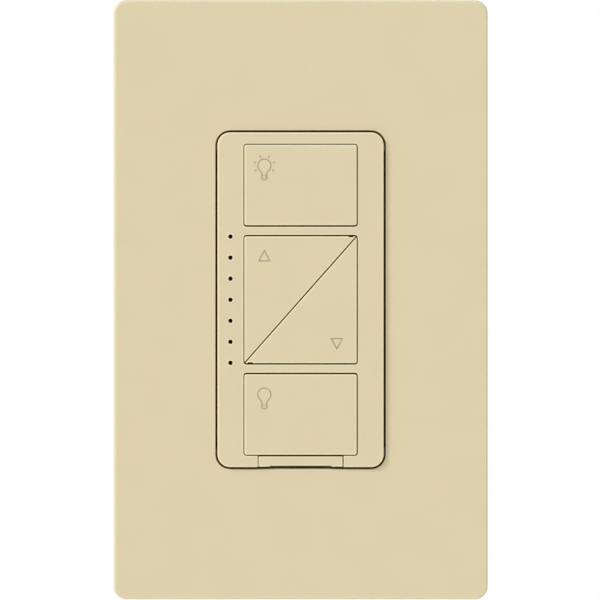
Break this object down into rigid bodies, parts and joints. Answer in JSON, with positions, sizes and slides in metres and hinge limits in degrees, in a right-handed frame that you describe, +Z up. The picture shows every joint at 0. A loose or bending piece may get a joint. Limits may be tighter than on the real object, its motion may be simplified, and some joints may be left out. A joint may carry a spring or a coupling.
{
  "type": "wall dimmer switch",
  "caption": "Wall dimmer with push keys for on, raise, lower and off, a column of level lights, a pull-out service switch and a screwless wallplate.",
  "frame": {"origin": "midway between the two wall box screws, on the wall plane, which is the back face of the yoke", "axes": "+X to the right as seen from the room, +Y into the wall, +Z up the wall; the front faces -Y"},
  "size_m": [0.0744, 0.0404, 0.1192],
  "materials": {
    "ivory_plastic": "fine satin moulding",
    "adapter_plastic": "plain moulding",
    "screw_steel": "bright zinc",
    "yoke_aluminium": "mill finish, lightly brushed",
    "fibre": "red-brown vulcanised fibre",
    "smoke_plastic": "smoked clear",
    "switch_plastic": "moulded",
    "spring_metal": "bright",
    "led_white": "moulded",
    "board_green": "solder mask",
    "black_moulding": "moulded",
    "tin_plate": "tinned",
    "copper": "bare copper",
    "enamelled_copper": "enamelled wire",
    "fish_paper": "grey insulating board",
    "gold_plate": "plated contacts",
    "contact_brass": "spring brass",
    "thermal_rubber": "filled silicone",
    "powdered_iron": "painted powder core",
    "film_case": "moulded case",
    "can_sleeve": "shrink sleeve",
    "varistor_coat": "dipped epoxy",
    "housing_plastic": "textured moulding",
    "label_paper": "blank label"
  },
  "bodies": {
    "frame": {"wallplate_cover": "ivory_plastic", "wallplate_adapter": "adapter_plastic", "adapter_screws": "screw_steel", "yoke": "yoke_aluminium", "box_screws": "screw_steel", "screw_retainers": "fibre", "bezel": "ivory_plastic", "light_pipe": "smoke_plastic", "switch_domes": "spring_metal", "switch_bases": "switch_plastic", "switch_caps": "tin_plate", "status_lights": "led_white", "control_board": "board_green", "controller_chip": "black_moulding", "radio_shield": "tin_plate", "antenna": "copper", "board_insulator": "fish_paper", "header_pins": "gold_plate", "header_housing": "black_moulding", "contact_clips": "contact_brass", "power_board": "board_green", "transistor_bodies": "black_moulding", "transistor_tabs": "tin_plate", "thermal_pads": "thermal_rubber", "transistor_screws": "screw_steel", "choke_core": "powdered_iron", "choke_winding": "enamelled_copper", "film_capacitor": "film_case", "smoothing_capacitors": "can_sleeve", "varistor": "varistor_coat", "fuse": "black_moulding", "lead_terminals": "tin_plate", "rear_cover": "housing_plastic", "rear_cover_screws": "screw_steel", "rating_label": "label_paper"},
    "on_key_body": {"on_key": "ivory_plastic"},
    "raise_key_body": {"raise_key": "ivory_plastic"},
    "lower_key_body": {"lower_key": "ivory_plastic"},
    "off_key_body": {"off_key": "ivory_plastic"},
    "on_plunger_body": {"on_plunger": "switch_plastic"},
    "raise_plunger_body": {"raise_plunger": "switch_plastic"},
    "lower_plunger_body": {"lower_plunger": "switch_plastic"},
    "off_plunger_body": {"off_plunger": "switch_plastic"},
    "service_switch": {"service_tab": "ivory_plastic", "contact_bridge": "copper"}
  },
  "joints": [
    {"name": "on_press", "type": "slide", "parent": "frame", "child": "on_key_body", "axis": [0, 1, 0], "range_m": [0, 0.0005], "stiffness_N_per_m": 2000, "springref_m": -0.00025},
    {"name": "raise_press", "type": "slide", "parent": "frame", "child": "raise_key_body", "axis": [0, 1, 0], "range_m": [0, 0.0005], "stiffness_N_per_m": 2000, "springref_m": -0.00025},
    {"name": "lower_press", "type": "slide", "parent": "frame", "child": "lower_key_body", "axis": [0, 1, 0], "range_m": [0, 0.0005], "stiffness_N_per_m": 2000, "springref_m": -0.00025},
    {"name": "off_press", "type": "slide", "parent": "frame", "child": "off_key_body", "axis": [0, 1, 0], "range_m": [0, 0.0005], "stiffness_N_per_m": 2000, "springref_m": -0.00025},
    {"name": "on_plunge", "type": "slide", "parent": "frame", "child": "on_plunger_body", "axis": [0, 1, 0], "range_m": [0, 0.0005], "deforming": ["switch_domes"]},
    {"name": "raise_plunge", "type": "slide", "parent": "frame", "child": "raise_plunger_body", "axis": [0, 1, 0], "range_m": [0, 0.0005], "deforming": ["switch_domes"]},
    {"name": "lower_plunge", "type": "slide", "parent": "frame", "child": "lower_plunger_body", "axis": [0, 1, 0], "range_m": [0, 0.0005], "deforming": ["switch_domes"]},
    {"name": "off_plunge", "type": "slide", "parent": "frame", "child": "off_plunger_body", "axis": [0, 1, 0], "range_m": [0, 0.0005], "deforming": ["switch_domes"]},
    {"name": "service_pull", "type": "slide", "parent": "frame", "child": "service_switch", "axis": [0, -1, 0], "range_m": [0, 0.0045]}
  ],
  "couplings": [
    {"joint": "on_plunge", "follows": "on_press", "ratio": 1},
    {"joint": "raise_plunge", "follows": "raise_press", "ratio": 1},
    {"joint": "lower_plunge", "follows": "lower_press", "ratio": 1},
    {"joint": "off_plunge", "follows": "off_press", "ratio": 1}
  ]
}
